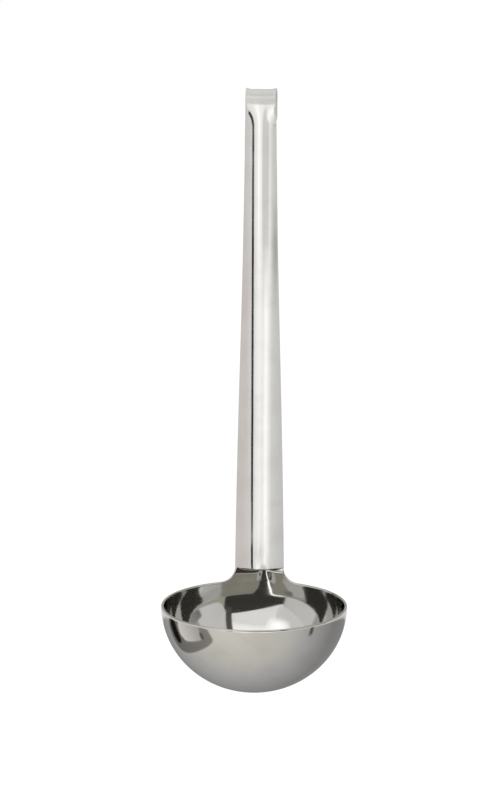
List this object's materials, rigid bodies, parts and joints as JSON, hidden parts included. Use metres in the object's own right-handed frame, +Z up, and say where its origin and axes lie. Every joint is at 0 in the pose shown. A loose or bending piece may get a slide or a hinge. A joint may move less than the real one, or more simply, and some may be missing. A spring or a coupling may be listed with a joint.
{
  "type": "soup ladle",
  "caption": "Polished steel soup ladle: a deep round bowl on a short flared neck and a long tapered hollow handle whose flattened end is bent back into a hanging hook.",
  "frame": {"origin": "on the axis of the hook's inner bend, midway across the strip", "axes": "+Z up along the handle, away from the bowl; +X across the handle, along the hook's bend axis; +Y to the handle's back, away from the bowl"},
  "size_m": [0.096, 0.1078, 0.3058],
  "materials": {
    "polished_steel": "mirror polished"
  },
  "bodies": {
    "root": {"bowl": "polished_steel", "handle_front_shell": "polished_steel", "handle_back_plate": "polished_steel", "tang_spot_welds": "polished_steel"}
  },
  "joints": []
}
